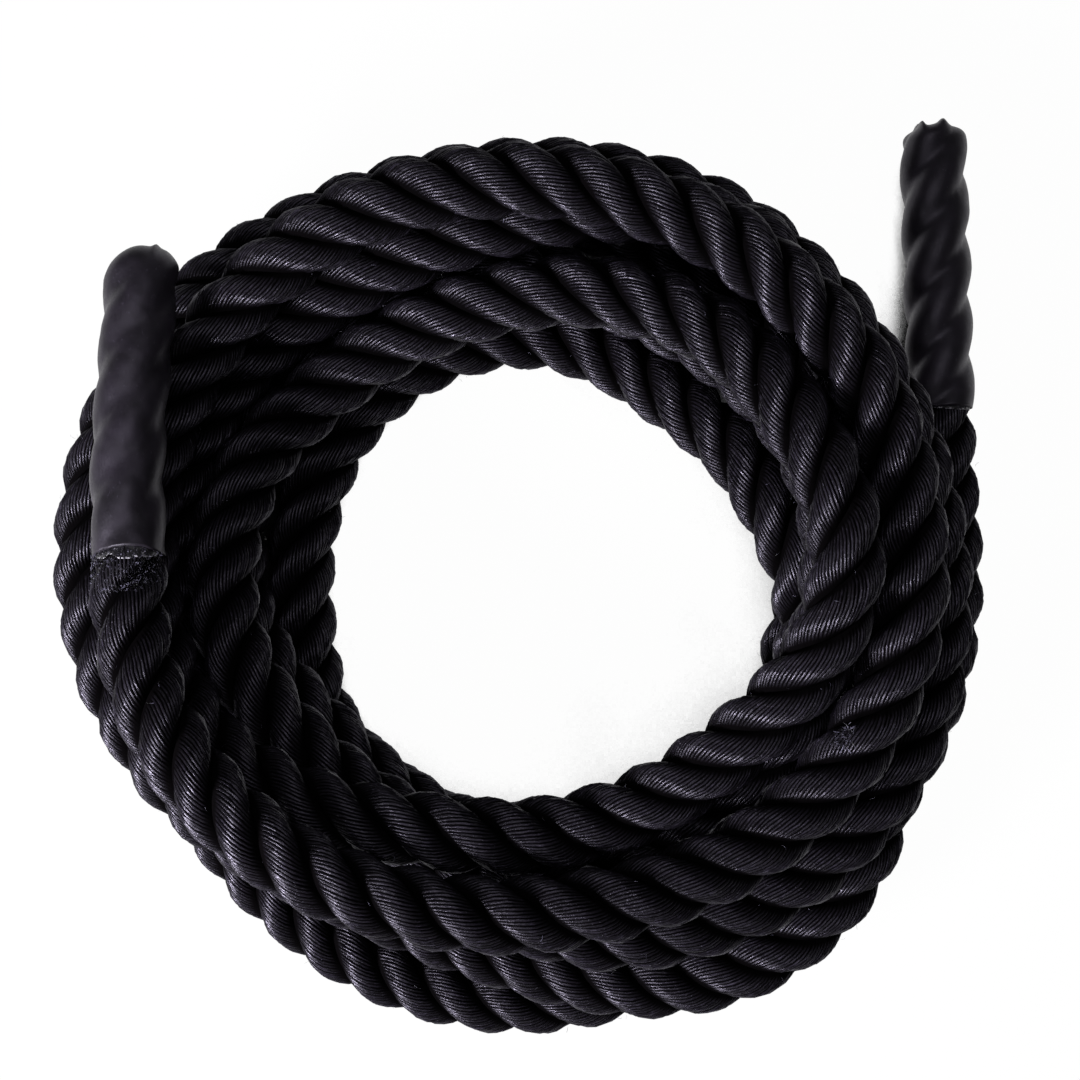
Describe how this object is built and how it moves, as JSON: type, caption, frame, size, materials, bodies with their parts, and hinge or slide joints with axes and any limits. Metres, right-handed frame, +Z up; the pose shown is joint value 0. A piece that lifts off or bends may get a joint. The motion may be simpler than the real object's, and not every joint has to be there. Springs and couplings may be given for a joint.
{
  "type": "battle rope",
  "caption": "Thick twisted training rope lying in a loose round coil, with a heat-shrink sleeve as a grip on each end.",
  "frame": {"origin": "centre of the bounding box at its bottom, on the surface that the coil lies on", "axes": "+Z up, through the coil's open middle; +Y the way both sleeves point; +X towards the sleeve that lies on the floor"},
  "size_m": [0.5152, 0.5126, 0.1814],
  "materials": {
    "rope": "black polyester yarns, slightly shiny along their ridges",
    "sleeve": "satin charcoal heat-shrink with soft wrinkles",
    "tape": "matt cloth-backed tape",
    "glue": "milky hot-melt glue"
  },
  "bodies": {
    "root": {"rope": "rope", "top_end_sleeve": "sleeve", "top_end_tape": "tape", "top_end_glue_ring": "glue", "floor_end_sleeve": "sleeve", "floor_end_tape": "tape", "floor_end_glue_ring": "glue"}
  },
  "joints": []
}
